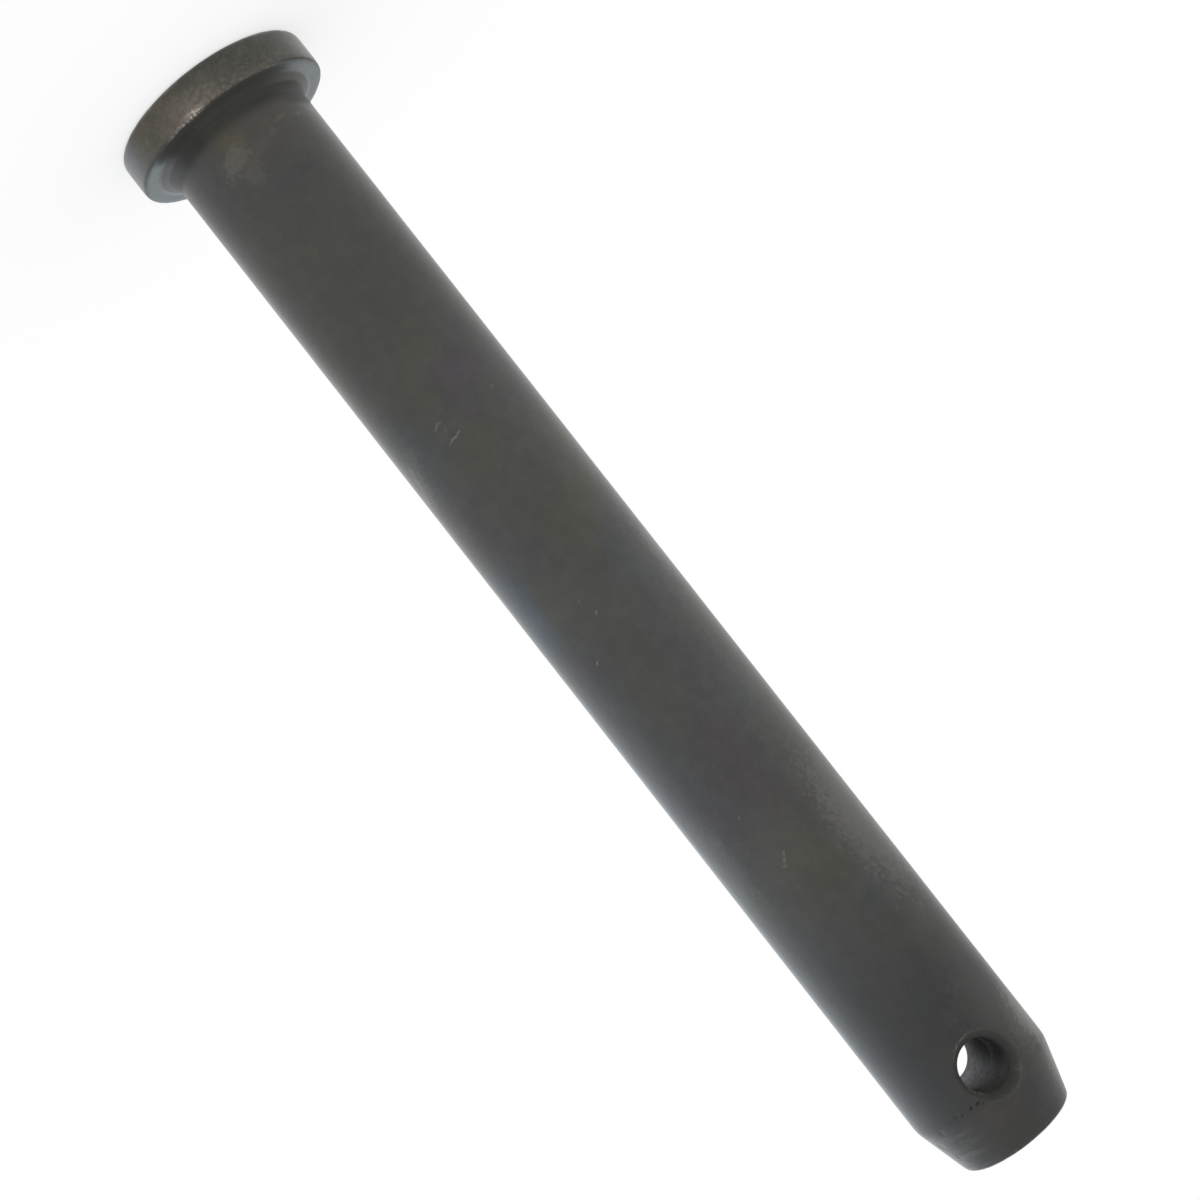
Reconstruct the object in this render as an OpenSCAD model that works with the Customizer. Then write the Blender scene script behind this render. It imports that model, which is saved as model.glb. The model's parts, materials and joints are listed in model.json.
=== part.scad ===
// Drawbar pin: a headed steel pin with a tapered tip and a cross hole for a clip.
// It stands on its head: the head's top face is at z = 0, and +Z runs along the pin to the tip.

/* [Shank] */
// Diameter of the shank
shank_d = 31.75; // [24:0.05:40]
// Length from the underside of the head to the end of the tip
shank_len = 253; // [120:0.5:400]

/* [Head] */
// How far the head stands out past the shank all round
head_overhang = 6.1; // [4.5:0.1:14]
// Thickness of the head
head_h = 7.9; // [5:0.1:16]
// Radius of the edge round the top of the head
head_top_edge_r = 1; // [0.2:0.1:2.5]
// Radius of the edge round the underside of the head
head_under_edge_r = 0.5; // [0.1:0.1:1.2]
// Radius of the fillet where the shank meets the head
neck_fillet_r = 3.2; // [0.5:0.1:3.2]

/* [Tip] */
// Length of the lead-in taper
taper_len = 11.8; // [6:0.1:20]
// Slope of the taper away from the shank, in degrees
taper_angle = 16; // [6:0.1:25]
// Radius that softens the edge where the taper starts
taper_start_r = 6; // [1:0.5:10]
// Radius of the edge round the end of the tip
tip_edge_r = 0.8; // [0.2:0.1:2]

/* [Cross hole] */
// Diameter of the cross hole
hole_d = 10.3; // [5:0.1:14]
// From the end of the tip to the centre of the cross hole
hole_inset = 17.1; // [14:0.05:60]
// Width of the countersink round each mouth, seen along the hole
sink_w = 2; // [0.5:0.1:2.5]
// Included angle of the countersink, in degrees
sink_angle = 60; // [50:1:100]

/* [Hidden] */
$fn = 96;
shank_r = shank_d / 2;
head_r = shank_r + head_overhang;
pin_len = head_h + shank_len;
taper_start_z = pin_len - taper_len;
tip_r = shank_r - taper_len * tan(taper_angle);
hole_z = pin_len - hole_inset;
sink_depth = sink_w / tan(sink_angle / 2);
// How far cutters run past the surface that they cut
cut_past = 1;
black_steel = [0.29, 0.285, 0.275];

// What lies outside an arc of radius r in a square corner at the origin, in the quadrant of +X and +Y
module corner_waste(r) {
    difference() {
        translate([-cut_past, -cut_past]) square(r + cut_past);
        translate([r, r]) circle(r);
    }
}

// What lies outside an arc of radius r at an outer corner at the origin, where the outline turns by the given angle
// from straight up to a slope towards the axis
module bend_waste(r, turn) {
    reach = r * tan(turn / 2);
    arc_start = [0, -reach];
    arc_end = reach * [-sin(turn), cos(turn)];
    clear_of_corner = cut_past * [1, tan(turn / 2)];
    difference() {
        polygon([
            [-r, -reach], arc_start, arc_start + cut_past * [1, 0],
            clear_of_corner, arc_end + cut_past * [cos(turn), sin(turn)], arc_end
        ]);
        translate([-r, -reach]) circle(r);
    }
}

module head_outline() {
    difference() {
        square([head_r, head_h]);
        translate([head_r, 0]) mirror([1, 0]) corner_waste(head_top_edge_r);
        translate([head_r, head_h]) mirror([1, 0]) mirror([0, 1]) corner_waste(head_under_edge_r);
    }
}

module shank_outline() {
    square([shank_r, taper_start_z]);
    translate([shank_r, head_h]) corner_waste(neck_fillet_r);
}

module tip_outline() {
    translate([0, taper_start_z])
        polygon([[0, 0], [shank_r, 0], [tip_r, taper_len], [0, taper_len]]);
}

// Half of the section through the axis, which the lathe turns
module pin_outline() {
    difference() {
        union() {
            head_outline();
            shank_outline();
            tip_outline();
        }
        translate([shank_r, taper_start_z]) bend_waste(taper_start_r, taper_angle);
        translate([tip_r, pin_len]) rotate(taper_angle) bend_waste(tip_edge_r, 90 - taper_angle);
    }
}

// Drill and both countersinks as one cutter, along Y
module cross_hole() {
    sink_z = shank_r - sink_depth;
    end_z = shank_r + cut_past;
    end_r = hole_d / 2 + (end_z - sink_z) * tan(sink_angle / 2);
    bore_r = hole_d / 2;
    rotate([90, 0, 0])
        rotate_extrude()
            polygon([
                [0, -end_z], [end_r, -end_z], [bore_r, -sink_z],
                [bore_r, sink_z], [end_r, end_z], [0, end_z]
            ]);
}

module drawbar_pin() {
    color(black_steel)
        difference() {
            rotate_extrude() pin_outline();
            translate([0, 0, hole_z]) cross_hole();
        }
}

drawbar_pin();
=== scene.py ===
import bpy
import bmesh
import json
import math
from mathutils import Matrix, Vector


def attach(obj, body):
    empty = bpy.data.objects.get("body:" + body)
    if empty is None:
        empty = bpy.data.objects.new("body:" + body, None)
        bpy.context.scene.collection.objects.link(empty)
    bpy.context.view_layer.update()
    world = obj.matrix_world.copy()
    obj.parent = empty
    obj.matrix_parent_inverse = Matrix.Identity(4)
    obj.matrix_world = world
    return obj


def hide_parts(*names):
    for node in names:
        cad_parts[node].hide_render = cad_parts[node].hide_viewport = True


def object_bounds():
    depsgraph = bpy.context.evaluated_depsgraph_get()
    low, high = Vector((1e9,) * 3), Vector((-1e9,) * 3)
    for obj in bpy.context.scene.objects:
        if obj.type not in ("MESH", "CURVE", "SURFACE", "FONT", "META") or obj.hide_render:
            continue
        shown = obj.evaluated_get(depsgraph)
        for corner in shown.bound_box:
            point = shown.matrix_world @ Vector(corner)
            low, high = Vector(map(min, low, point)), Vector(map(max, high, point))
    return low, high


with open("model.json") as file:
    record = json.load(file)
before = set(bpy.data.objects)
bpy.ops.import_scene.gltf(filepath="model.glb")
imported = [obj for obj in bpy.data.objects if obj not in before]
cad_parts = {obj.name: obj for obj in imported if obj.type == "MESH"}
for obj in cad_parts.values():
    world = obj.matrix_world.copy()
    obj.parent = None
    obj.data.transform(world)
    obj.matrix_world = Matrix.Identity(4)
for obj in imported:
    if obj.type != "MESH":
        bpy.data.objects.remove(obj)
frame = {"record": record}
cadLow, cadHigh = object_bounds()
mm = 0.001
mounts = {m["name"]: m for m in frame["record"]["mounts"]}


# small helpers for both kinds of node tree

def feed(tree, socket, value):
    if isinstance(value, bpy.types.NodeSocket):
        tree.links.new(value, socket)
    else:
        socket.default_value = value


def put(tree, kind, inputs=None, **settings):
    made = tree.nodes.new(kind)
    for name, value in settings.items():
        setattr(made, name, value)
    for key, value in (inputs or {}).items():
        feed(tree, made.inputs[key], value)
    return made


def calculator(tree):
    def calc(operation, *values):
        made = put(tree, "ShaderNodeMath", operation=operation)
        for place, value in enumerate(values):
            feed(tree, made.inputs[place], value)
        return made.outputs[0]
    return calc


# camera at the photograph's angle: head at the upper left, tip at the lower right

photoView = {
    "lens": 59.4,  # mm, as is the sensor's width
    "sensor": 36,
    "clip": (0.01, 50),
    "distance": 395.7 * mm,
    "azimuth": 12.65,  # degrees round the pin from the mouth of the cross hole
    "elevation": 2.47,
    "roll": -141.9,
    "aim": (0.15 * mm, 0.03 * mm, 128.0 * mm),
}


def placeCamera(spec):
    turn, lift, roll = (math.radians(spec[k]) for k in ("azimuth", "elevation", "roll"))
    back = Vector((math.sin(turn) * math.cos(lift), -math.cos(turn) * math.cos(lift), math.sin(lift)))
    levelRight = Vector((0, 0, 1)).cross(back).normalized()
    levelUp = back.cross(levelRight)
    up = levelUp * math.cos(roll) + levelRight * math.sin(roll)
    right = up.cross(back)
    camera = bpy.data.objects.new("photoCamera", bpy.data.cameras.new("photoCamera"))
    camera.data.lens = spec["lens"]
    camera.data.sensor_width = spec["sensor"]
    camera.data.clip_start, camera.data.clip_end = spec["clip"]
    turned = Matrix((right, up, back)).transposed().to_4x4()
    camera.matrix_world = Matrix.Translation(Vector(spec["aim"]) + back * spec["distance"]) @ turned
    bpy.context.collection.objects.link(camera)
    bpy.context.scene.camera = camera
    print("camera placed")


placeCamera(photoView)


# the pin's sizes: the frame gives the fits and the overall size, the rest is its edges

pin = {
    "shankRadius": mounts["shank"]["dims"]["r_mm"] * mm,
    "headRadius": cadHigh.x,
    "headHeight": mounts["head_underside"]["pos_m"][2],
    "length": cadHigh.z,
    "topEdge": 1.0 * mm,
    "underEdge": 0.5 * mm,
    "neckFillet": 3.2 * mm,
    "taperLength": 11.8 * mm,
    "taperSlope": math.tan(math.radians(16)),
    "taperSoften": 1.2 * mm,
    "tipEdge": 0.8 * mm,
    "boreRadius": mounts["clip_hole"]["dims"]["r_mm"] * mm,
    "boreHeight": mounts["clip_hole"]["pos_m"][2],
    "sinkWidth": 2.0 * mm,
    "sinkSlope": math.tan(math.radians(30)),
    "mouthBreak": 0.3,  # shares of the countersink that its soft outer and inner edges take
    "boreBreak": 0.12,
    "columns": 300,
    "mouthCells": 20,  # half the width of the opening in the lathe's grid
    "mouthEase": 2.2,  # where the grid round the mouth is square again, in half widths
    "shankRow": 1.6 * mm,
    "boreRings": 14,
    "edgeSteps": 5,  # rounds that find the countersink's outer edge
    "skinScale": 0.07,  # slight unevenness of the whole skin, then the chips in worn edges and knocks
    "skinDepth": 0.05 * mm,
    "chipScale": 0.45,
    "knockShrink": 0.55,
    "steps": {"top": 12, "topEdge": 6, "rim": 16, "underEdge": 5, "shoulder": 6, "fillet": 10,
              "taper": 6, "tipEdge": 6, "tip": 8, "mouthEdge": 4, "sink": 4, "boreEdge": 5},
}
pin["taperStart"] = pin["length"] - pin["taperLength"]
pin["tipRadius"] = pin["shankRadius"] - pin["taperLength"] * pin["taperSlope"]

# knocks in the metal: degrees round the pin, then height, width and depth in mm
nicks = [
    {"angle": -44, "height": 248.3, "size": 0.9, "depth": 0.12},
    {"angle": -49, "height": 248.0, "size": 1.1, "depth": 0.15},
    {"angle": -54, "height": 248.2, "size": 0.9, "depth": 0.14},
    {"angle": -62, "height": 248.0, "size": 0.8, "depth": 0.20},
    {"angle": -68, "height": 248.0, "size": 0.9, "depth": 0.18},
    {"angle": -70, "height": 248.5, "size": 0.7, "depth": 0.14},
    {"angle": -29, "height": 249.6, "size": 1.3, "depth": 0.14},
    {"angle": -12, "height": 252.8, "size": 1.6, "depth": 0.16},
    {"angle": -17, "height": 256.4, "size": 1.2, "depth": 0.12},
    {"angle": -10, "height": 88.0, "size": 3.0, "depth": 0.10},
    {"angle": -67, "height": 86.6, "size": 1.2, "depth": 0.08},
    {"angle": -61, "height": 7.7, "size": 1.4, "depth": 0.16},
    {"angle": -66, "height": 7.6, "size": 1.2, "depth": 0.20},
    {"angle": -74, "height": 7.8, "size": 1.3, "depth": 0.14},
    {"angle": -84, "height": 7.7, "size": 1.1, "depth": 0.12},
    {"angle": 40, "height": 7.6, "size": 1.5, "depth": 0.16},
    {"angle": 118, "height": 7.7, "size": 1.3, "depth": 0.15},
    {"angle": 75, "height": 248.3, "size": 1.0, "depth": 0.14},
]

# edges that handling has worn uneven: radius and height of the edge, how far and how deep the wear goes
wornEdges = [
    {"radius": pin["headRadius"], "height": pin["headHeight"], "reach": 1.3 * mm, "depth": 0.20 * mm},
    {"radius": pin["headRadius"], "height": 0.0, "reach": 1.6 * mm, "depth": 0.18 * mm},
    {"radius": pin["tipRadius"], "height": pin["length"], "reach": 1.3 * mm, "depth": 0.12 * mm},
    {"radius": pin["shankRadius"], "height": pin["taperStart"], "reach": 2.0 * mm, "depth": 0.05 * mm},
]


def softMax(value, soften):
    near = max(soften - abs(value), 0) / soften
    return max(value, 0) + near ** 3 * soften / 6


def wallRadius(p, height):
    return p["shankRadius"] - p["taperSlope"] * softMax(height - p["taperStart"], p["taperSoften"])


def spotOnPin(p, angle, height):
    radius = p["headRadius"] if height < p["headHeight"] else wallRadius(p, height)
    turn = math.radians(angle)
    return Vector((radius * math.cos(turn), radius * math.sin(turn), height))


def arcRows(centre, radius, first, last, steps):
    angles = [math.radians(first + (last - first) * i / steps) for i in range(steps + 1)]
    return [(centre[0] + radius * math.cos(a), centre[1] + radius * math.sin(a)) for a in angles]


def spread(first, last, steps):
    return [first + (last - first) * i / steps for i in range(steps + 1)]


def bendRows(first, corner, last, steps):
    rows = []
    for t in spread(0, 1, steps):
        a, b, c = (1 - t) ** 2, 2 * t * (1 - t), t * t
        rows.append(tuple(a * first[k] + b * corner[k] + c * last[k] for k in (0, 1)))
    return rows


# outline of the turned body from the middle of the head's top to the middle of the tip

def pinOutline(p):
    slopeAngle = math.degrees(math.atan(p["taperSlope"]))
    tipCentre = p["tipRadius"] - p["tipEdge"] * math.tan(math.radians(90 - slopeAngle) / 2)
    cell = 2 * math.pi * p["shankRadius"] / p["columns"]
    reach = math.ceil(p["mouthCells"] * p["mouthEase"]) + 1
    denseRows = [p["boreHeight"] + i * cell for i in range(-reach, reach + 1)]
    neckTop = p["headHeight"] + p["neckFillet"]
    plainRows = spread(neckTop, denseRows[0], round((denseRows[0] - neckTop) / p["shankRow"]))
    steps = p["steps"]
    tipArc = arcRows((tipCentre, p["length"] - p["tipEdge"]), p["tipEdge"], slopeAngle, 90, steps["tipEdge"])
    lastRows = spread(denseRows[-1], tipArc[0][1], steps["taper"])
    topCentre = (p["headRadius"] - p["topEdge"], p["topEdge"])
    underCentre = (p["headRadius"] - p["underEdge"], p["headHeight"] - p["underEdge"])
    filletCentre = (p["shankRadius"] + p["neckFillet"], neckTop)

    rows = [(r, 0) for r in spread(0, p["headRadius"] - 1.2 * p["topEdge"], steps["top"])]
    rows += arcRows(topCentre, p["topEdge"], -90, 0, steps["topEdge"])
    rows += [(p["headRadius"], z) for z in spread(topCentre[1], underCentre[1], steps["rim"])[1:-1]]
    rows += arcRows(underCentre, p["underEdge"], 0, 90, steps["underEdge"])
    shoulder = spread(underCentre[0], filletCentre[0], steps["shoulder"])
    rows += [(r, p["headHeight"]) for r in shoulder[1:-1]]
    rows += arcRows(filletCentre, p["neckFillet"], -90, -180, steps["fillet"])
    rows += [(wallRadius(p, z), z) for z in plainRows[1:] + denseRows[1:] + lastRows[1:-1]]
    rows += tipArc
    rows += [(r, p["length"]) for r in spread(tipCentre * 0.98, 0, steps["tip"])]
    return rows, p["mouthCells"] * cell


# rings of a mouth, from the wall to the bore: share of the countersink's width, then of its depth

def mouthOutline(p):
    out, into, steps = p["mouthBreak"], p["boreBreak"], p["steps"]
    rows = bendRows((1 + out, 0), (1, 0), (1 - out, out), steps["mouthEdge"])
    rows += [(1 - t, t) for t in spread(out, 1 - into, steps["sink"])[1:-1]]
    rows += bendRows((into, 1 - into), (0, 1), (0, 1 + into), steps["boreEdge"])
    return rows


# lathe: turns the outline, opens the cross hole in the wall and draws its mouths in to meet halfway

def latheTree(edges, knocks, p):
    tree = bpy.data.node_groups.new("turnedPin", "GeometryNodeTree")
    calc = calculator(tree)
    tiny = 1e-6
    tree.interface.new_socket("Outlines", in_out="INPUT", socket_type="NodeSocketGeometry")
    for name in ("Columns", "Rows", "Mouth Rows", "Bore Rings"):
        tree.interface.new_socket(name, in_out="INPUT", socket_type="NodeSocketInt")
    for name in ("Bore Height", "Bore Radius", "Sink Depth", "Sink Slope", "Mouth Break", "Half Angle",
                 "Half Height", "Ease", "Shank Radius", "Taper Start", "Taper Slope", "Taper Soften"):
        tree.interface.new_socket(name, in_out="INPUT", socket_type="NodeSocketFloat")
    tree.interface.new_socket("Material", in_out="INPUT", socket_type="NodeSocketMaterial")
    tree.interface.new_socket("Geometry", in_out="OUTPUT", socket_type="NodeSocketGeometry")
    given = tree.nodes.new("NodeGroupInput").outputs
    position = put(tree, "GeometryNodeInputPosition").outputs[0]

    def split(vector):
        return put(tree, "ShaderNodeSeparateXYZ", {0: vector}).outputs

    def join(x, y, z):
        return put(tree, "ShaderNodeCombineXYZ", {0: x, 1: y, 2: z}).outputs[0]

    def outlinePoint(index):
        sampler = put(tree, "GeometryNodeSampleIndex", data_type="FLOAT_VECTOR", domain="POINT", clamp=True)
        feed(tree, sampler.inputs["Geometry"], given["Outlines"])
        feed(tree, sampler.inputs["Value"], position)
        feed(tree, sampler.inputs["Index"], index)
        return split(sampler.outputs[0])

    def keep(geometry, name, value):
        stored = put(tree, "GeometryNodeStoreNamedAttribute", data_type="FLOAT_VECTOR", domain="POINT")
        feed(tree, stored.inputs["Geometry"], geometry)
        feed(tree, stored.inputs["Name"], name)
        feed(tree, stored.inputs["Value"], value)
        return stored.outputs[0]

    def recall(name):
        return split(put(tree, "GeometryNodeInputNamedAttribute", {"Name": name},
                         data_type="FLOAT_VECTOR").outputs[0])

    def wallAt(height):
        past = calc("SUBTRACT", height, given["Taper Start"])
        past = calc("SMOOTH_MAX", past, 0.0, given["Taper Soften"])
        return calc("SUBTRACT", given["Shank Radius"], calc("MULTIPLY", past, given["Taper Slope"]))

    def wallDistance(x, height):
        return calc("SQRT", calc("SUBTRACT", calc("POWER", wallAt(height), 2.0), calc("POWER", x, 2.0)))

    # one grid row for each point of the body's outline
    grid = put(tree, "GeometryNodeMeshGrid", {
        "Size X": 1.0, "Size Y": 1.0,
        "Vertices X": calc("ADD", given["Columns"], 1), "Vertices Y": given["Rows"],
    }).outputs["Mesh"]
    onGrid = split(position)
    row = calc("ROUND", calc("MULTIPLY", calc("ADD", onGrid[1], 0.5), calc("SUBTRACT", given["Rows"], 1)))
    outline = outlinePoint(row)
    angle = calc("MULTIPLY", calc("ADD", onGrid[0], 0.5), 2 * math.pi)

    # place of each point beside the nearer mouth, in half widths of the opening
    fromMouth = calc("SUBTRACT", calc("FLOORED_MODULO", angle, math.pi), math.pi / 2)
    mouthAngle = calc("SUBTRACT", angle, fromMouth)
    side = calc("SINE", mouthAngle)
    across = calc("DIVIDE", fromMouth, given["Half Angle"])
    along = calc("DIVIDE", calc("SUBTRACT", outline[2], given["Bore Height"]), given["Half Height"])
    square = calc("MAXIMUM", calc("ABSOLUTE", across), calc("ABSOLUTE", along))
    apart = calc("SQRT", calc("ADD", calc("POWER", across, 2.0), calc("POWER", along, 2.0)))
    apart = calc("MAXIMUM", apart, tiny)
    rayX = calc("DIVIDE", across, apart)
    rayZ = calc("DIVIDE", along, apart)

    # where the countersink's cone meets the wall on that ray
    sinkFloor = calc("SUBTRACT", given["Shank Radius"], given["Sink Depth"])
    sinkReach = calc("MULTIPLY", given["Sink Depth"], given["Sink Slope"])
    edgeRadius = calc("ADD", given["Bore Radius"], sinkReach)
    for step in range(p["edgeSteps"]):
        edgeHeight = calc("ADD", given["Bore Height"], calc("MULTIPLY", rayZ, edgeRadius))
        edgeDistance = wallDistance(calc("MULTIPLY", rayX, edgeRadius), edgeHeight)
        sunk = calc("SUBTRACT", edgeDistance, sinkFloor)
        edgeRadius = calc("ADD", given["Bore Radius"], calc("MULTIPLY", sunk, given["Sink Slope"]))

    grow = calc("MULTIPLY", calc("SUBTRACT", square, 1.0), given["Half Height"])
    soften = calc("MULTIPLY", given["Mouth Break"], calc("SUBTRACT", edgeRadius, given["Bore Radius"]))
    ringRadius = calc("ADD", calc("ADD", edgeRadius, soften), grow)
    ringHeight = calc("ADD", given["Bore Height"], calc("MULTIPLY", rayZ, ringRadius))
    eased = put(tree, "ShaderNodeMapRange", {"Value": square, "From Min": 1.0, "From Max": given["Ease"]},
                interpolation_type="SMOOTHSTEP").outputs[0]

    def easeTo(ringValue, gridValue):
        return calc("ADD", ringValue, calc("MULTIPLY", eased, calc("SUBTRACT", gridValue, ringValue)))

    height = easeTo(ringHeight, outline[2])
    inReach = calc("LESS_THAN", square, given["Ease"])
    toWall = calc("SUBTRACT", wallAt(height), outline[0])
    radius = calc("ADD", outline[0], calc("MULTIPLY", inReach, toWall))
    lean = calc("DIVIDE", calc("MULTIPLY", rayX, ringRadius), calc("MAXIMUM", radius, tiny))
    lean = calc("MAXIMUM", calc("MINIMUM", lean, 1.0), -1.0)
    turned = calc("ADD", mouthAngle, easeTo(calc("ARCSINE", lean), fromMouth))
    turnedPlace = join(calc("MULTIPLY", radius, calc("COSINE", turned)),
                       calc("MULTIPLY", radius, calc("SINE", turned)), height)
    marked = keep(grid, "mouthRay", join(calc("MULTIPLY", calc("MULTIPLY", side, -1.0), rayX), side, rayZ))
    marked = keep(marked, "mouthEdge", join(edgeRadius, edgeDistance, 0.0))
    opened = put(tree, "GeometryNodeDeleteGeometry", {
        "Geometry": marked, "Selection": calc("LESS_THAN", square, 0.99)}, domain="POINT")
    wall = put(tree, "GeometryNodeSetPosition", {"Geometry": opened.outputs[0], "Position": turnedPlace})
    closed = put(tree, "GeometryNodeMergeByDistance", {"Geometry": wall.outputs[0], "Distance": tiny})

    # rings from each mouth: down its countersink first, then along the bore to the middle
    start = tree.nodes.new("GeometryNodeRepeatInput")
    end = tree.nodes.new("GeometryNodeRepeatOutput")
    start.pair_with_output(end)
    sinkRings = calc("SUBTRACT", given["Mouth Rows"], 1)
    feed(tree, start.inputs["Iterations"], calc("ADD", sinkRings, given["Bore Rings"]))
    feed(tree, start.inputs["Geometry"], closed.outputs[0])
    ring = calc("ADD", start.outputs["Iteration"], 1)
    mouthRow = outlinePoint(calc("ADD", given["Rows"], calc("MINIMUM", ring, sinkRings)))
    inBore = calc("MAXIMUM", calc("DIVIDE", calc("SUBTRACT", ring, sinkRings), given["Bore Rings"]), 0.0)
    faceCount = put(tree, "GeometryNodeInputMeshEdgeNeighbors").outputs[0]
    pulled = put(tree, "GeometryNodeExtrudeMesh", {
        "Mesh": start.outputs["Geometry"], "Selection": calc("COMPARE", faceCount, 1.0, 0.5),
        "Offset Scale": 0.0}, mode="EDGES")
    ray = recall("mouthRay")
    edge = recall("mouthEdge")
    ringSize = calc("ADD", given["Bore Radius"],
                    calc("MULTIPLY", mouthRow[0], calc("SUBTRACT", edge[0], given["Bore Radius"])))
    ringY = calc("ADD", edge[1], calc("MULTIPLY", mouthRow[1], calc("SUBTRACT", sinkFloor, edge[1])))
    ringY = calc("MULTIPLY", calc("MULTIPLY", ringY, calc("SUBTRACT", 1.0, inBore)), ray[1])
    ringPlace = join(calc("MULTIPLY", ray[0], ringSize), ringY,
                     calc("ADD", given["Bore Height"], calc("MULTIPLY", ray[2], ringSize)))
    drawn = put(tree, "GeometryNodeSetPosition", {
        "Geometry": pulled.outputs["Mesh"], "Selection": pulled.outputs["Top"], "Position": ringPlace})
    feed(tree, end.inputs["Geometry"], drawn.outputs[0])
    joined = put(tree, "GeometryNodeMergeByDistance", {
        "Geometry": end.outputs["Geometry"], "Distance": tiny})

    # wear: uneven edges, knocks and a slight unevenness of the whole skin, all of it inwards
    spot = split(position)
    spotRadius = calc("SQRT", calc("ADD", calc("POWER", spot[0], 2.0), calc("POWER", spot[1], 2.0)))

    def roughness(scale, seed, detail=2.0):
        made = put(tree, "ShaderNodeTexNoise", {"Vector": position, "W": seed, "Scale": scale / mm,
                                                "Detail": detail}, noise_dimensions="4D")
        return made.outputs[0]

    def fade(distance, reach):
        return put(tree, "ShaderNodeMapRange", {"Value": distance, "From Min": 0.0, "From Max": reach,
                                                "To Min": 1.0, "To Max": 0.0},
                   interpolation_type="SMOOTHSTEP").outputs[0]

    depth = calc("MULTIPLY", roughness(p["skinScale"], 1.0), p["skinDepth"])
    chips = roughness(p["chipScale"], 2.0, 3.0)
    for worn in edges:
        away = calc("SQRT", calc("ADD", calc("POWER", calc("SUBTRACT", spotRadius, worn["radius"]), 2.0),
                                 calc("POWER", calc("SUBTRACT", spot[2], worn["height"]), 2.0)))
        uneven = calc("MULTIPLY", calc("MULTIPLY", fade(away, worn["reach"]), chips), worn["depth"])
        depth = calc("ADD", depth, uneven)
    for knock in knocks:
        centre = spotOnPin(p, knock["angle"], knock["height"] * mm)
        away = put(tree, "ShaderNodeVectorMath", {0: position, 1: centre},
                   operation="DISTANCE").outputs["Value"]
        away = calc("MULTIPLY", away, calc("ADD", p["knockShrink"], chips))
        dent = calc("MULTIPLY", fade(away, knock["size"] * mm), knock["depth"] * mm)
        depth = calc("MAXIMUM", depth, dent)
    normal = put(tree, "GeometryNodeInputNormal").outputs[0]
    inwards = put(tree, "ShaderNodeVectorMath", {0: normal, "Scale": calc("MULTIPLY", depth, -1.0)},
                  operation="SCALE").outputs[0]
    worked = put(tree, "GeometryNodeSetPosition", {"Geometry": joined.outputs[0], "Offset": inwards})

    smooth = put(tree, "GeometryNodeSetShadeSmooth", {0: worked.outputs[0]})
    real = put(tree, "GeometryNodeRealizeInstances", {0: smooth.outputs[0]})
    dressed = put(tree, "GeometryNodeSetMaterial", {
        "Geometry": real.outputs[0], "Material": given["Material"]})
    output = tree.nodes.new("NodeGroupOutput")
    feed(tree, output.inputs[0], dressed.outputs[0])
    return tree


def turnPin(p, material):
    rows, halfHeight = pinOutline(p)
    mouthRows = mouthOutline(p)
    points = [(r, 0, z) for r, z in rows] + [(width, depth, 0) for width, depth in mouthRows]
    line = bpy.data.meshes.new("pinOutline")
    line.from_pydata(points, [(i, i + 1) for i in range(len(points) - 1)], [])
    piece = bpy.data.objects.new("turnedPin", line)
    bpy.context.collection.objects.link(piece)
    tree = latheTree(wornEdges, nicks, p)
    settings = {
        "Columns": p["columns"], "Rows": len(rows),
        "Mouth Rows": len(mouthRows), "Bore Rings": p["boreRings"],
        "Bore Height": p["boreHeight"], "Bore Radius": p["boreRadius"],
        "Sink Depth": p["sinkWidth"] / p["sinkSlope"], "Sink Slope": p["sinkSlope"],
        "Mouth Break": p["mouthBreak"],
        "Half Angle": p["mouthCells"] * 2 * math.pi / p["columns"],
        "Half Height": halfHeight, "Ease": p["mouthEase"], "Shank Radius": p["shankRadius"],
        "Taper Start": p["taperStart"], "Taper Slope": p["taperSlope"], "Taper Soften": p["taperSoften"],
        "Material": material,
    }
    lathe = piece.modifiers.new("lathe", "NODES")
    lathe.node_group = tree
    for item in tree.interface.items_tree:
        if item.in_out == "INPUT" and item.name in settings:
            lathe[item.identifier] = settings[item.name]
    piece.update_tag()
    turned = bpy.data.meshes.new_from_object(piece.evaluated_get(bpy.context.evaluated_depsgraph_get()))
    piece.modifiers.remove(lathe)
    piece.data = turned
    body = bmesh.new()
    body.from_mesh(turned)
    bmesh.ops.recalc_face_normals(body, faces=body.faces)
    openEdges = sum(1 for e in body.edges if len(e.link_faces) != 2)
    volume = body.calc_volume()
    body.to_mesh(turned)
    body.free()
    triangles = sum(len(f.vertices) - 2 for f in turned.polygons)
    print("pin turned:", len(rows), "rows,", triangles, "triangles,", openEdges, "open edges,",
          round(volume * 1e9), "cubic mm")
    return piece


# dark oxide on steel: mottled and matt, smoother under the head, worn bright where it is handled; painted
# shade, highlights and reflections are mixed into its colour

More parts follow.
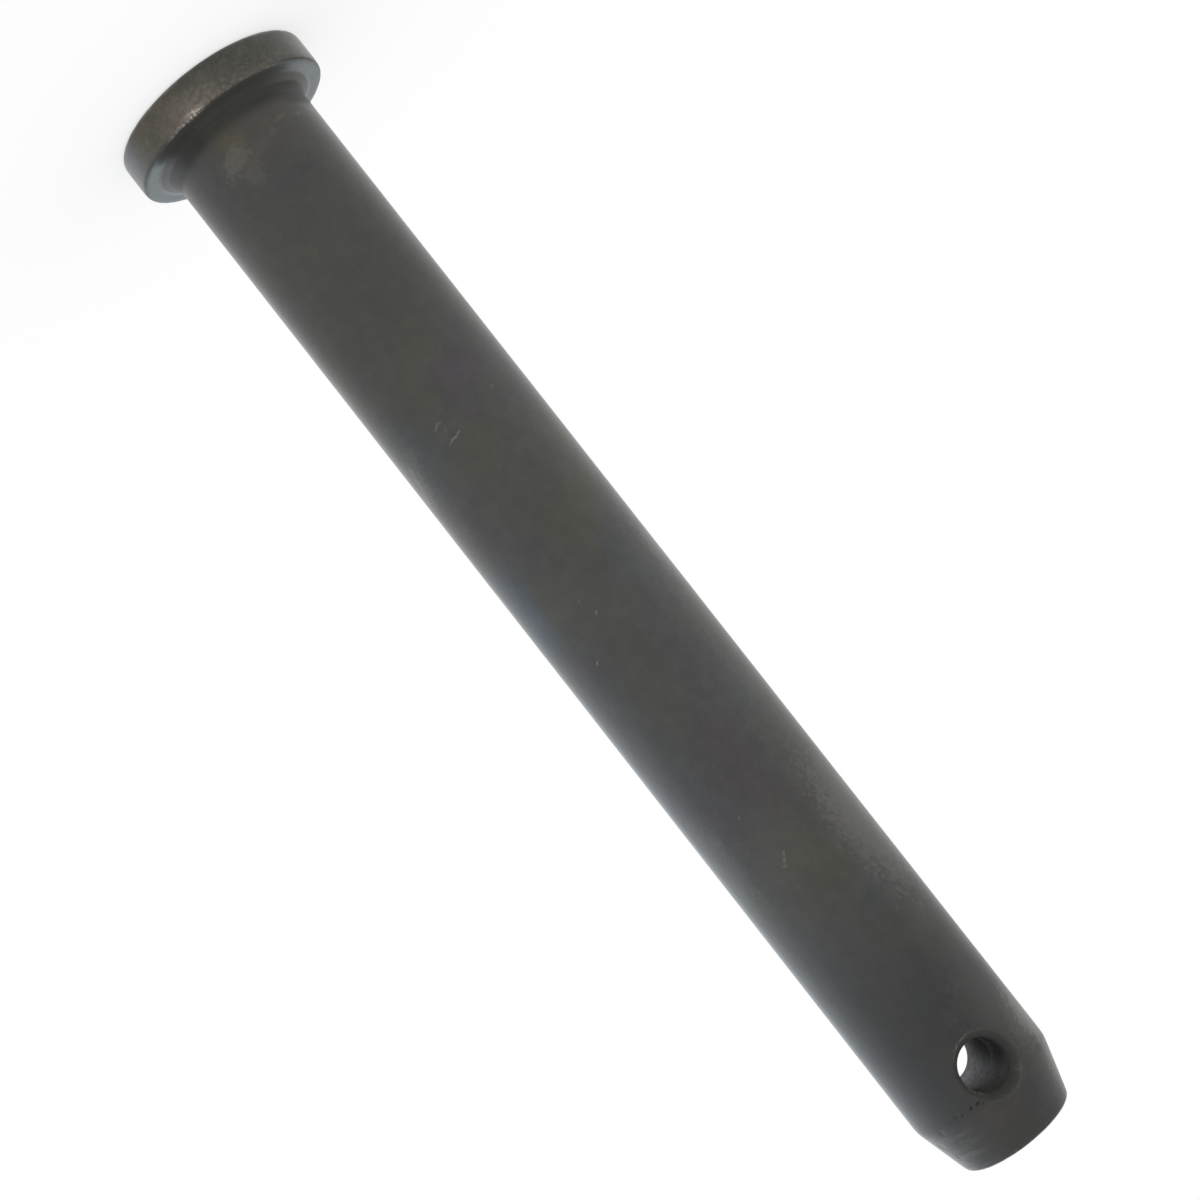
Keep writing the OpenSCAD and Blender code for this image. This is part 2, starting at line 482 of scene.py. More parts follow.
finish = {
    "neutral": (0.029, 0.029, 0.0285, 1),
    "olive": (0.032, 0.0325, 0.024, 1),
    "violet": (0.030, 0.026, 0.0295, 1),
    "blueGrey": (0.026, 0.0295, 0.032, 1),
    "steelBlue": (0.024, 0.034, 0.046, 1),
    "warm": (0.050, 0.041, 0.021, 1),
    "dark": (0.010, 0.010, 0.0105, 1),
    # dark pits, and painted shade in the crook, along the rim's lower edge and deep in the bore
    "soot": (0.004, 0.004, 0.0037, 1),
    "crook": (0.030, 0.030, 0.026, 1),
    "rimDark": (0.022, 0.023, 0.014, 1),
    "rimBrown": (0.043, 0.034, 0.019, 1),
    "rimTan": (0.125, 0.103, 0.082, 1),
    # painted sheen on the rim's end
    "rimPale": (0.070, 0.073, 0.080, 1),
    # worn bare edges, and painted highlights on the rim
    "bareEdge": (0.42, 0.365, 0.31, 1),
    "glint": (0.56, 0.51, 0.46, 1),
    # painted reflection on the sides of the head's underside
    "under": (0.026, 0.052, 0.064, 1),
    "russet": (0.038, 0.021, 0.024, 1),
    "sink": (0.045, 0.044, 0.041, 1),
    "boreDim": (0.048, 0.048, 0.043, 1),
    # painted reflection: the bore's wall where it catches the far opening
    "bore": (0.25, 0.256, 0.29, 1),
    "pale": (0.16, 0.16, 0.145, 1),
}

# marks: degrees round the pin, height, length and width in mm, lean from the pin's line in degrees, strength
paleMarks = [
    {"angle": -60.8, "height": 82.9, "length": 2.2, "width": 0.55, "lean": 55, "strength": 0.5},
    {"angle": -64.3, "height": 82.6, "length": 1.3, "width": 0.45, "lean": 85, "strength": 0.4},
    {"angle": -70.6, "height": 86.4, "length": 1.6, "width": 0.6, "lean": 70, "strength": 0.55},
    {"angle": -66.8, "height": 86.7, "length": 1.9, "width": 0.65, "lean": 100, "strength": 0.62},
    {"angle": -62.4, "height": 87.0, "length": 1.6, "width": 0.5, "lean": 75, "strength": 0.5},
    {"angle": -65.1, "height": 84.4, "length": 1.3, "width": 0.45, "lean": 30, "strength": 0.3},
    {"angle": -111, "height": 82.9, "length": 1.2, "width": 0.6, "lean": 40, "strength": 0.35},
    {"angle": -69.3, "height": 130.1, "length": 1.4, "width": 0.7, "lean": 30, "strength": 0.55},
    {"angle": -64.6, "height": 126.4, "length": 1.0, "width": 0.6, "lean": 60, "strength": 0.35},
    {"angle": -46.6, "height": 137.9, "length": 1.6, "width": 0.7, "lean": 50, "strength": 0.55},
    {"angle": -59.4, "height": 177.8, "length": 1.4, "width": 0.6, "lean": 35, "strength": 0.55},
    {"angle": -65.8, "height": 189.5, "length": 1.3, "width": 0.6, "lean": 65, "strength": 0.55},
    {"angle": -63.8, "height": 190.4, "length": 1.4, "width": 0.8, "lean": 80, "strength": 0.4},
    {"angle": -68.6, "height": 188.3, "length": 1.5, "width": 0.7, "lean": 30, "strength": 0.4},
    {"angle": -16.0, "height": 85.4, "length": 4.5, "width": 2.4, "lean": 10, "strength": 0.45},
    {"angle": -12.0, "height": 87.6, "length": 5.5, "width": 2.6, "lean": -8, "strength": 0.55},
    {"angle": -7.0, "height": 91.0, "length": 6.0, "width": 2.8, "lean": 0, "strength": 0.6},
    {"angle": -108, "height": 248.1, "length": 2.0, "width": 1.1, "lean": 40, "strength": 0.24},
]
# soft marks: pale scuffs and dust; the broad pale blooms round -22 and -123 to -148 degrees are painted
# sheen on the pin's edges
scuffsAndSheen = [
    {"angle": -64.5, "height": 84.8, "length": 6.0, "width": 4.2, "lean": 60, "strength": 0.05},
    {"angle": -65.0, "height": 18.0, "length": 9.0, "width": 6.0, "lean": 70, "strength": 0.25},
    {"angle": -71.0, "height": 21.6, "length": 7.0, "width": 5.0, "lean": 20, "strength": 0.13},
    {"angle": -86.0, "height": 18.4, "length": 6.0, "width": 3.0, "lean": 60, "strength": 0.08},
    {"angle": -112, "height": 15.4, "length": 3.6, "width": 1.3, "lean": 84, "strength": 0.18},
    {"angle": -100, "height": 17.2, "length": 3.4, "width": 1.6, "lean": 70, "strength": 0.09},
    {"angle": -129, "height": 16.0, "length": 3.0, "width": 1.0, "lean": 80, "strength": 0.18},
    {"angle": -148, "height": 15.3, "length": 3.4, "width": 0.9, "lean": 95, "strength": 0.36},
    {"angle": -13.0, "height": 88.6, "length": 15.0, "width": 8.0, "lean": 0, "strength": 0.32},
    {"angle": -24.0, "height": 84.5, "length": 9.0, "width": 6.0, "lean": 20, "strength": 0.18},
    {"angle": -70.0, "height": 186.0, "length": 22.0, "width": 14.0, "lean": 10, "strength": 0.05},
    {"angle": -123, "height": 128.4, "length": 13.0, "width": 4.5, "lean": 10, "strength": 0.06},
    {"angle": -148, "height": 127.5, "length": 18.0, "width": 9.0, "lean": 0, "strength": 0.34},
    {"angle": -142, "height": 158.0, "length": 110.0, "width": 13.0, "lean": 0, "strength": 0.15},
    {"angle": -136, "height": 192.0, "length": 42.0, "width": 18.0, "lean": 0, "strength": 0.34},
    {"angle": -112, "height": 235.0, "length": 24.0, "width": 15.0, "lean": 5, "strength": 0.07},
    {"angle": -147, "height": 252.5, "length": 10.0, "width": 7.0, "lean": 0, "strength": 0.30},
    {"angle": -22, "height": 184.0, "length": 26.0, "width": 10.0, "lean": 0, "strength": 0.13},
    {"angle": -14, "height": 88.0, "length": 75.0, "width": 11.0, "lean": 0, "strength": 0.09},
    {"angle": -132, "height": 242.0, "length": 14.0, "width": 9.0, "lean": 5, "strength": 0.16},
    {"angle": -146, "height": 243.0, "length": 17.0, "width": 9.0, "lean": -5, "strength": 0.60},
]
darkMarks = [
    {"angle": -43, "height": 248.2, "length": 1.2, "width": 0.6, "lean": 60, "strength": 0.25},
    {"angle": -48.8, "height": 248.0, "length": 1.6, "width": 0.7, "lean": 80, "strength": 0.55},
    {"angle": -53.9, "height": 248.2, "length": 1.2, "width": 0.55, "lean": 40, "strength": 0.55},
    {"angle": -58, "height": 248.1, "length": 1.3, "width": 0.4, "lean": 95, "strength": 0.4},
    {"angle": -61.9, "height": 247.9, "length": 1.4, "width": 0.65, "lean": 30, "strength": 0.8},
    {"angle": -67.7, "height": 248.0, "length": 1.7, "width": 0.75, "lean": 75, "strength": 0.85},
    {"angle": -70.4, "height": 248.5, "length": 1.3, "width": 0.55, "lean": 95, "strength": 0.6},
]

# broad clouds in the oxide, two of them painted sheen: degrees round the pin and height of the middle, reach
# in degrees and in mm
clouds = [
    {"tone": "violet", "angle": -80, "height": 166.0, "spread": 34, "length": 24.0, "strength": 0.85},
    {"tone": "olive", "angle": -66, "height": 148.5, "spread": 28, "length": 15.0, "strength": 0.8},
    {"tone": "olive", "angle": -82, "height": 193.0, "spread": 34, "length": 18.0, "strength": 0.8},
    {"tone": "olive", "angle": -72, "height": 103.0, "spread": 34, "length": 12.0, "strength": 0.8},
    {"tone": "dark", "angle": -45, "height": 151.0, "spread": 34, "length": 20.0, "strength": 0.2},
    {"tone": "neutral", "angle": -25, "height": 154.0, "spread": 36, "length": 17.0, "strength": 0.8},
    # painted sheen: bluish clouds on the pin's edge round -14 to -28 degrees
    {"tone": "steelBlue", "angle": -14, "height": 122.0, "spread": 36, "length": 18.0, "strength": 0.9},
    {"tone": "steelBlue", "angle": -28, "height": 84.0, "spread": 40, "length": 13.0, "strength": 0.45},
]


def markGroup():
    group = bpy.data.node_groups.new("surfaceMark", "ShaderNodeTree")
    group.interface.new_socket("Unrolled", in_out="INPUT", socket_type="NodeSocketVector")
    for name in ("Fray", "Across", "Height", "Lean", "Half Length", "Half Width"):
        group.interface.new_socket(name, in_out="INPUT", socket_type="NodeSocketFloat")
    group.interface.new_socket("Mark", in_out="OUTPUT", socket_type="NodeSocketFloat")
    calc = calculator(group)
    given = group.nodes.new("NodeGroupInput").outputs
    place = put(group, "ShaderNodeSeparateXYZ", {0: given["Unrolled"]}).outputs
    across = calc("SUBTRACT", place[0], given["Across"])
    up = calc("SUBTRACT", place[1], given["Height"])
    cosine, sine = calc("COSINE", given["Lean"]), calc("SINE", given["Lean"])
    along = calc("ADD", calc("MULTIPLY", up, cosine), calc("MULTIPLY", across, sine))
    beside = calc("SUBTRACT", calc("MULTIPLY", across, cosine), calc("MULTIPLY", up, sine))
    apart = calc("SQRT", calc("ADD", calc("POWER", calc("DIVIDE", along, given["Half Length"]), 2.0),
                              calc("POWER", calc("DIVIDE", beside, given["Half Width"]), 2.0)))
    frayed = calc("ADD", apart, given["Fray"])
    mark = put(group, "ShaderNodeMapRange", {"Value": frayed, "From Min": 0.35, "From Max": 1.1,
                                             "To Min": 1.0, "To Max": 0.0}, interpolation_type="SMOOTHSTEP")
    output = group.nodes.new("NodeGroupOutput")
    feed(group, output.inputs[0], mark.outputs[0])
    return group


def oxideSteel(p, f):
    material = bpy.data.materials.new("oxideSteel")
    material.use_nodes = True
    tree = material.node_tree
    calc = calculator(tree)
    shader = tree.nodes["Principled BSDF"]
    shader.inputs["IOR"].default_value = 1.5
    coordinates = put(tree, "ShaderNodeTexCoord").outputs["Object"]
    place = put(tree, "ShaderNodeVectorMath", {0: coordinates, "Scale": 1 / mm},
                operation="SCALE").outputs[0]
    x, y, z = put(tree, "ShaderNodeSeparateXYZ", {0: place}).outputs
    inMm = ("shankRadius", "headRadius", "headHeight", "length", "taperStart", "tipRadius", "boreRadius",
            "boreHeight", "taperSoften", "sinkWidth")
    size = {key: p[key] / mm for key in inMm}
    rim, underside, taper = size["headRadius"], size["headHeight"], size["taperStart"]

    def cloud(scale, seed, detail=3.0, at=place, rough=0.55):
        aside = (37.0 * seed, 91.0 * seed, 53.0 * seed)
        moved = put(tree, "ShaderNodeVectorMath", {0: at, 1: aside}).outputs[0]
        noise = {"Vector": moved, "Scale": scale, "Detail": detail, "Roughness": rough}
        return put(tree, "ShaderNodeTexNoise", noise).outputs[0]

    def vector(first, second, third):
        return put(tree, "ShaderNodeCombineXYZ", {0: first, 1: second, 2: third}).outputs[0]

    def rise(value, low, high, first=0.0, last=1.0):
        limits = {"Value": value, "From Min": low, "From Max": high, "To Min": first, "To Max": last}
        return put(tree, "ShaderNodeMapRange", limits, interpolation_type="SMOOTHSTEP").outputs[0]

    def near(value, centre, inner, outer):
        return rise(calc("ABSOLUTE", calc("SUBTRACT", value, centre)), inner, outer, 1.0, 0.0)

    def allOf(operation, values):
        total = values[0]
        for value in values[1:]:
            total = calc(operation, total, value)
        return total

    def times(*values):
        return allOf("MULTIPLY", values)

    def plus(*values):
        return allOf("ADD", values)

    def most(*values):
        return allOf("MAXIMUM", values)

    def allBut(share):
        return calc("SUBTRACT", 1.0, share)

    def tint(share, first, second):
        made = put(tree, "ShaderNodeMix", data_type="RGBA")
        feed(tree, made.inputs[0], share)
        feed(tree, made.inputs[6], first)
        feed(tree, made.inputs[7], second)
        return made.outputs[2]

    def scaled(colour, amount):
        return put(tree, "ShaderNodeVectorMath", {0: colour, "Scale": amount}, operation="SCALE").outputs[0]

    def mixed(share, first, second):
        return calc("ADD", first, calc("MULTIPLY", share, calc("SUBTRACT", second, first)))

    def apart(first, second):
        return calc("SQRT", calc("ADD", calc("POWER", first, 2.0), calc("POWER", second, 2.0)))

    def ringFade(radiusAt, heightAt, reach):
        away = apart(calc("SUBTRACT", radius, radiusAt), calc("SUBTRACT", z, heightAt))
        return rise(away, 0.0, reach, 1.0, 0.0)

    def spots(group, marks, fray):
        total = 0.0
        for mark in marks:
            made = put(tree, "ShaderNodeGroup", node_tree=group)
            values = {"Unrolled": unrolled, "Fray": fray, "Height": mark["height"],
                      "Across": math.radians(mark["angle"]) * size["shankRadius"],
                      "Lean": math.radians(mark["lean"]),
                      "Half Length": mark["length"] / 2, "Half Width": mark["width"] / 2}
            for name, value in values.items():
                feed(tree, made.inputs[name], value)
            total = most(total, times(made.outputs[0], mark["strength"]))
        return total

    # degrees round the pin: the near mouth of the cross hole lies at -90, the picture's lower left at 0
    radius = apart(x, y)
    angle = calc("MULTIPLY", calc("ARCTAN2", y, x), 180 / math.pi)
    arc = calc("MULTIPLY", angle, math.pi / 180 * size["shankRadius"])
    unrolled = vector(arc, z, 0.0)
    grain = cloud(1.6, 1.0, 4.0)

    # zones of the pin
    past = calc("SMOOTH_MAX", calc("SUBTRACT", z, taper), 0.0, size["taperSoften"])
    wall = calc("SUBTRACT", size["shankRadius"], calc("MULTIPLY", past, p["taperSlope"]))
    belowWall = calc("SUBTRACT", wall, radius)
    overBore = calc("SUBTRACT", z, size["boreHeight"])
    fromBore = apart(x, overBore)
    mouthReach = size["boreRadius"] + size["sinkWidth"]
    byHole = rise(fromBore, mouthReach + 0.4, mouthReach + 0.8, 1.0, 0.0)
    inHole = times(byHole, rise(belowWall, 0.12, 0.35))
    inBore = times(byHole, rise(calc("ABSOLUTE", y), 9.0, 13.2, 1.0, 0.0))
    mouthEdge = times(byHole, rise(belowWall, 0.02, 0.08), rise(belowWall, 0.16, 0.45, 1.0, 0.0))
    mouthTurn = calc("MULTIPLY", calc("ARCTAN2", overBore, x), 180 / math.pi)
    onRim = times(rise(radius, rim - 1.375, rim - 0.675),
                  rise(z, underside - 0.5, underside - 0.1, 1.0, 0.0))
    under = times(rise(radius, 17.2, 18.8), rise(z, underside - 0.3, underside - 0.05))
    neck = times(rise(z, underside - 0.2, underside), rise(z, 9.5, 13.5, 1.0, 0.0))
    leftFlank = rise(angle, -38.0, -18.0)
    front = times(rise(angle, -168.0, -98.0), allBut(leftFlank))
    flanks = allBut(front)
    onTaper = rise(z, taper - 0.6, taper + 1.0)
    onTip = rise(z, size["length"] - 0.3, size["length"] - 0.1)
    offTip = allBut(onTip)
    belowNeck = times(rise(z, 8.0, 11.0), rise(z, 13.0, 26.0, 1.0, 0.0), near(angle, -90.0, 24.0, 56.0))
    nearTip = rise(z, 190.0, 236.0)

    # mottled oxide, with painted sheen, paler or bluish, on the shank's edges
    colour = tint(rise(cloud(0.045, 3.0, 3.0), 0.36, 0.62), f["neutral"], f["olive"])
    colour = tint(rise(cloud(0.06, 4.0, 2.0), 0.46, 0.74), colour, f["violet"])
    colour = tint(rise(cloud(0.07, 5.0, 2.0), 0.50, 0.78), colour, f["blueGrey"])
    cloudy = mixed(cloud(0.18, 30.0, 3.0), -0.4, 0.4)
    for patch in clouds:
        away = apart(calc("DIVIDE", calc("SUBTRACT", angle, patch["angle"]), patch["spread"]),
                     calc("DIVIDE", calc("SUBTRACT", z, patch["height"]), patch["length"]))
        colour = tint(rise(plus(away, cloudy), 0.3, 1.0, patch["strength"], 0.0), colour, f[patch["tone"]])
    warmth = mixed(near(angle, -71.0, 3.0, 15.0), 0.45, 1.0)
    colour = tint(times(belowNeck, warmth, rise(cloud(0.16, 6.0), 0.32, 0.58, 0.55, 1.0)), colour, f["warm"])
    tipSide = calc("SUBTRACT", rise(angle, -80.0, -50.0, 0.68, 0.92), rise(angle, 60.0, 170.0, 0.0, 0.24))
    colour = tint(times(nearTip, mixed(onTip, tipSide, 0.8)), colour, f["dark"])
    redPlace = times(near(angle, -77.0, 8.0, 30.0), near(z, 250.9, 1.4, 4.5))
    redSpeck = times(mixed(redPlace, 0.15, 0.6), rise(cloud(1.5, 26.0, 4.0), 0.34, 0.70))
    colour = tint(times(onTaper, redSpeck), colour, f["russet"])
    shade = mixed(cloud(0.05, 8.0, 5.0), 0.70, 1.30)
    patches = mixed(rise(cloud(0.33, 23.0, 4.0), 0.35, 0.65), 0.92, 1.08)
    # painted sheen: paler past -110 degrees and round the back, from 40 to 245 mm up
    edgeSheenSide = plus(rise(angle, -110.0, -70.0, 0.58, 0.30), rise(angle, 60.0, 170.0, 0.0, 0.28))
    edgeSheen = times(rise(z, 40.0, 110.0), rise(z, 190.0, 245.0, 1.0, 0.5), edgeSheenSide)
    colour = scaled(colour, times(shade, patches, plus(1.0, edgeSheen), mixed(grain, 0.80, 1.20)))

    # head: painted shade in the crook under it, a painted bluish reflection on the sides of its underside,
    # browned on the rim
    ripples = cloud(1.0, 27.0, 3.0, vector(times(radius, 1.3), times(z, 1.3), times(x, 0.06)))
    colour = tint(times(neck, mixed(front, 0.55, 0.95)), colour, f["crook"])
    # painted reflection: the sides of the underside take the bluish under colour; its front, near the shank,
    # takes the crook colour
    underSheenTone = tint(front, f["under"], f["crook"])
    colour = tint(times(under, mixed(cloud(0.3, 10.0), 0.8, 1.0)), colour, underSheenTone)
    colour = scaled(colour, mixed(neck, 1.0, rise(ripples, 0.36, 0.64, 0.85, 1.15)))
    # painted highlight: a faint pale line on the sides of the fillet under the head
    filletGleamSides = most(leftFlank, rise(angle, -140.0, -108.0, 1.0, 0.0))
    colour = tint(times(near(z, 8.4, 0.25, 0.62), filletGleamSides, 0.27), colour, f["pale"])
    # painted shade: darker in the fillet under the head, along its sides and round -46 degrees
    paintedNeckShade = most(times(near(z, 9.6, 0.25, 1.0), flanks, 0.45),
                 times(neck, near(angle, -46.0, 6.0, 20.0), 0.35))
    colour = tint(paintedNeckShade, colour, f["soot"])
    rimGrain = cloud(1.1, 9.0, 5.0, rough=0.6)
    rimCloud = cloud(0.22, 24.0, 3.0)
    tanPatch = times(near(angle, -68.0, 2.0, 27.0), rise(z, 0.8, 5.0), 0.7)
    tanShare = plus(times(rise(rimGrain, 0.42, 0.70), 0.22), times(rise(rimCloud, 0.46, 0.66), 0.15),
                    times(tanPatch, rise(rimGrain, 0.20, 0.70, 0.45, 1.0)),
                    times(ringFade(rim, underside - 1.0, 2.8), near(angle, -96.0, 20.0, 44.0),
                          rise(rimGrain, 0.30, 0.70, 0.05, 0.32)))
    rimColour = tint(times(near(angle, -48.0, 12.0, 28.0), 0.85), f["rimDark"], f["rimBrown"])
    rimColour = tint(calc("MINIMUM", tanShare, 1.0), rimColour, f["rimTan"])
    # painted sheen: paler, bluish grey on the rim's end round 0 degrees
    rimColour = tint(near(angle, 0.0, 12.0, 34.0), rimColour, f["rimPale"])
    colour = tint(onRim, colour, scaled(rimColour, mixed(grain, 0.8, 1.2)))
    rimEdge = ringFade(rim - 0.15, underside - 0.15, 0.8)
    rimWide = ringFade(rim, underside - 0.35, 1.4)
    topEdge = ringFade(rim - 0.3, 0.3, 0.9)
    tipEdge = ringFade(size["tipRadius"], size["length"] - 0.2, 0.9)
    handled = near(angle, -88.0, 24.0, 48.0)
    # painted shade: a dark line along the rim's lower edge, fainter where it is handled
    colour = tint(times(rimEdge, mixed(handled, 0.9, 0.2)), colour, f["soot"])
    streaks = rise(cloud(2.0, 11.0, 4.0), 0.36, 0.66)
    # worn bright edges, with a painted highlight on the rim's lower edge round -61 to -67 degrees
    wearAndHighlight = most(times(rimEdge, handled, mixed(streaks, 0.03, 0.20)),
                times(rimWide, near(angle, -67.0, 1.5, 9.5), mixed(streaks, 0.15, 0.90)),
                times(rimEdge, near(angle, -61.0, 6.0, 18.0), mixed(streaks, 0.10, 0.60)),
                times(topEdge, rise(cloud(0.4, 12.0, 4.0), 0.5, 0.7), 0.35),
                times(tipEdge, rise(cloud(0.5, 13.0, 4.0), 0.52, 0.72), 0.2))
    # painted highlight: glints on the rim's lower edge
    glints = times(rimWide, near(angle, -67.5, 1.5, 7.0), rise(cloud(2.6, 28.0, 2.0), 0.52, 0.64))
    colour = tint(wearAndHighlight, colour, f["bareEdge"])
    colour = tint(glints, colour, f["glint"])

    # cross hole: painted shade deep in the bore, a painted gleam on its wall towards the far opening
    colour = tint(inHole, colour, scaled(f["sink"][:3], mixed(grain, 0.8, 1.2)))
    wallSide = plus(times(x, 0.6 / size["boreRadius"]), times(overBore, 0.8 / size["boreRadius"]))
    # painted gleam on the lower wall towards the far opening, painted shade on the rest of the bore
    paintedBoreGleam = times(rise(wallSide, -0.3, 0.6), rise(y, -7.0, 5.0))
    paintedBoreShade = times(rise(wallSide, -0.7, 0.32, 1.0, 0.0), rise(y, 2.0, 11.0, 1.0, 0.45),
                     rise(y, -12.5, -7.5, 0.4, 1.0))
    pits = rise(cloud(0.9, 14.0, 4.0), 0.48, 0.62)
    boreTone = tint(paintedBoreShade, tint(paintedBoreGleam, f["boreDim"], f["bore"]), f["soot"])
    colour = tint(inBore, colour, scaled(boreTone, mixed(pits, 1.32, 0.5)))
    innerLip = times(byHole, near(y, -12.5, 0.3, 1.1), near(mouthTurn, 22.0, 12.0, 36.0),
                     rise(grain, 0.38, 0.62))
    colour = tint(times(innerLip, 0.55), colour, f["pale"])
    # worn pale lip round the near mouth, with a painted highlight round -69 degrees
    worn = most(near(mouthTurn, -69.0, 8.0, 34.0), times(near(mouthTurn, 126.0, 10.0, 40.0), 0.2))
    colour = tint(times(mouthEdge, worn, rise(grain, 0.35, 0.6), 0.55), colour, f["pale"])

    # scratches, specks, stains and pits, and soft pale blooms that are painted sheen
    group = markGroup()
    fray = calc("MULTIPLY", calc("SUBTRACT", cloud(0.9, 2.0, 4.0), 0.5), 1.7)
    fine = rise(cloud(2.4, 29.0, 3.0), 0.36, 0.62)
    specks = times(rise(cloud(0.8, 16.0, 2.0), 0.74, 0.80), 0.14)
    chatterZone = times(rise(z, taper + 0.3, taper + 2.5), offTip, near(angle, -20.0, 8.0, 40.0))
    chatterLines = cloud(1.0, 25.0, 4.0, vector(times(arc, 0.14), times(z, 0.75), 0.0))
    chatter = times(chatterZone, rise(chatterLines, 0.38, 0.74), mixed(fine, 0.22, 0.38))
    pale = most(times(spots(group, paleMarks, fray), mixed(fine, 0.35, 1.15)),
                times(spots(group, scuffsAndSheen, fray), mixed(fine, 0.75, 1.1)), specks, chatter)
    colour = tint(pale, colour, f["pale"])
    pitted = spots(group, darkMarks, fray)
    colour = tint(pitted, colour, f["soot"])
    feed(tree, shader.inputs["Base Color"], colour)

    # gloss
    gloss = mixed(cloud(0.3, 18.0, 4.0), 0.27, 0.37)
    rubbed = times(rise(z, 14.0, 40.0), offTip, near(angle, -10.0, 40.0, 62.0))
    gloss = times(gloss, mixed(rubbed, 1.0, 0.78))
    gloss = mixed(neck, gloss, mixed(front, 0.5, 0.85))
    gloss = mixed(times(under, flanks, rise(radius, 17.7, 18.6)), gloss, 0.21)
    gloss = mixed(times(near(z, 11.8, 1.0, 3.0), near(angle, -150.0, 14.0, 36.0)), gloss, 0.55)
    gloss = mixed(inHole, gloss, 0.65)
    gloss = mixed(inBore, gloss, mixed(paintedBoreShade, 0.65, 0.95))
    gloss = mixed(pitted, gloss, 0.9)
    feed(tree, shader.inputs["Roughness"], gloss)

    # relief in mm: fine grain all over, coarser on the rim, turning marks on the taper and the tip
    turning = cloud(1.0, 20.0, 3.0, vector(times(x, 0.05), times(z, 1.4), times(y, 0.05)))
    facing = cloud(1.0, 21.0, 3.0, vector(times(radius, 1.6), times(x, 0.04), times(y, 0.04)))
    relief = plus(times(grain, mixed(under, 0.016, 0.003)), times(cloud(0.25, 19.0, 3.0), 0.04),
                  times(onRim, plus(times(rimGrain, 0.03), times(rimCloud, 0.08))),
                  times(onTaper, plus(times(turning, 0.05), times(grain, 0.015))),
                  times(onTip, facing, 0.04), times(neck, allBut(under), ripples, 0.015),
                  times(inBore, cloud(0.9, 22.0, 4.0), 0.12), times(pale, -0.02), times(pitted, -0.12))
    bump = put(tree, "ShaderNodeBump", {"Strength": 1.0, "Distance": mm, "Height": relief})
    feed(tree, shader.inputs["Normal"], bump.outputs[0])
    print("oxide finish mixed:", len(tree.nodes), "nodes")
    return material


pinPiece = turnPin(pin, oxideSteel(pin, finish))
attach(pinPiece, "root")
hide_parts("drawbar_pin")


# white floor and surround, a little brighter and cooler on the side of the pin's lower edge in the picture

stage = {
    "floorGlow": 0.62,  # share of the floor's white that shadows don't touch
    "floorWhite": 1.08,
    "floorTone": (0.92, 0.92, 0.92, 1),
    "floorHalf": 6.0,
    "floorDrop": 0.02 * mm,
    "surround": 1.0,
    "sideGain": 0.27,
    "plainSide": (1.0, 1.0, 0.985, 1),
    "coolSide": (0.91, 1.0, 1.08, 1),
    "brightSide": (0.78, 0.58, -0.35),
    "softBoxes": [
        {"name": "coolSide", "place": (0.9, 0.5, 0.35), "size": 0.9, "power": 0.45},
        {"name": "warmSide", "place": (-0.9, -0.3, 0.4), "size": 0.9, "power": 0.5},
    ],
}


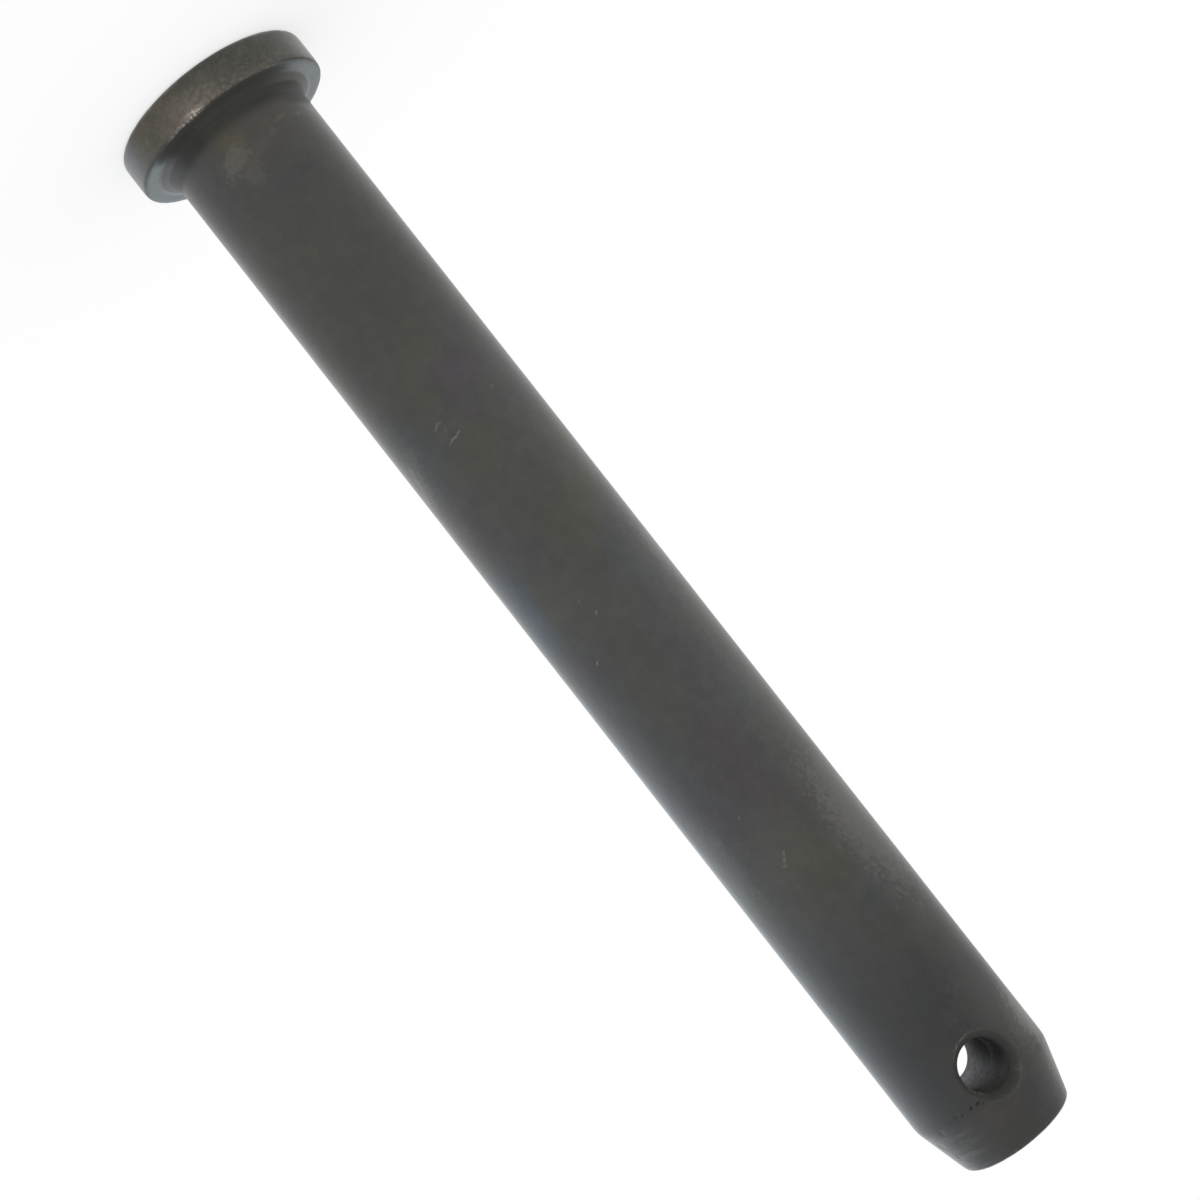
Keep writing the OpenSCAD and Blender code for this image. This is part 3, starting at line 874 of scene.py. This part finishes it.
def layFloor(spec):
    material = bpy.data.materials.new("whiteFloor")
    material.use_nodes = True
    tree = material.node_tree
    tree.nodes.clear()
    calc = calculator(tree)
    seen = put(tree, "ShaderNodeLightPath").outputs
    plain = put(tree, "ShaderNodeBsdfDiffuse", {"Color": spec["floorTone"]})
    glow = put(tree, "ShaderNodeEmission", {"Color": (1, 1, 1, 1), "Strength": spec["floorWhite"]})
    direct = calc("MAXIMUM", seen["Is Glossy Ray"], seen["Is Transmission Ray"])
    direct = calc("MAXIMUM", direct, calc("MULTIPLY", seen["Is Camera Ray"], spec["floorGlow"]))
    blend = put(tree, "ShaderNodeMixShader", {0: direct, 1: plain.outputs[0], 2: glow.outputs[0]})
    output = tree.nodes.new("ShaderNodeOutputMaterial")
    feed(tree, output.inputs["Surface"], blend.outputs[0])
    half = spec["floorHalf"]
    corners = [(-half, -half, 0), (half, -half, 0), (half, half, 0), (-half, half, 0)]
    mesh = bpy.data.meshes.new("floor")
    mesh.from_pydata(corners, [], [(0, 1, 2, 3)])
    mesh.materials.append(material)
    floor = bpy.data.objects.new("floor", mesh)
    floor.location.z = -spec["floorDrop"]
    bpy.context.collection.objects.link(floor)


def lightWorld(spec):
    world = bpy.data.worlds.new("whiteSurround")
    bpy.context.scene.world = world
    world.use_nodes = True
    tree = world.node_tree
    tree.nodes.clear()
    calc = calculator(tree)
    seen = put(tree, "ShaderNodeLightPath").outputs
    direct = calc("MAXIMUM", seen["Is Camera Ray"], seen["Is Transmission Ray"])
    way = put(tree, "ShaderNodeTexCoord").outputs["Generated"]
    facing = put(tree, "ShaderNodeVectorMath", {0: way, 1: spec["brightSide"]},
                 operation="DOT_PRODUCT").outputs["Value"]
    level = calc("ADD", spec["surround"], calc("MULTIPLY", facing, spec["sideGain"]))
    cool = put(tree, "ShaderNodeMapRange", {"Value": facing, "From Min": 0.0, "From Max": 1.0})
    colour = put(tree, "ShaderNodeMix", data_type="RGBA")
    feed(tree, colour.inputs[0], cool.outputs[0])
    feed(tree, colour.inputs[6], spec["plainSide"])
    feed(tree, colour.inputs[7], spec["coolSide"])
    sides = put(tree, "ShaderNodeBackground", {"Color": colour.outputs[2], "Strength": level})
    white = put(tree, "ShaderNodeBackground", {"Color": (1, 1, 1, 1), "Strength": 1.0})
    blend = put(tree, "ShaderNodeMixShader", {0: direct, 1: sides.outputs[0], 2: white.outputs[0]})
    output = tree.nodes.new("ShaderNodeOutputWorld")
    feed(tree, output.inputs["Surface"], blend.outputs[0])


def hangLamps(spec):
    for box in spec["softBoxes"]:
        data = bpy.data.lights.new(box["name"], "AREA")
        data.size = box["size"]
        data.energy = box["power"]
        lamp = bpy.data.objects.new(box["name"], data)
        lamp.location = box["place"]
        towards = Vector((0, 0, cadHigh.z / 2)) - lamp.location
        lamp.rotation_euler = towards.to_track_quat("-Z", "Y").to_euler()
        bpy.context.collection.objects.link(lamp)


layFloor(stage)
lightWorld(stage)
hangLamps(stage)
bpy.context.scene.view_settings.view_transform = "Standard"
print("stage lit")
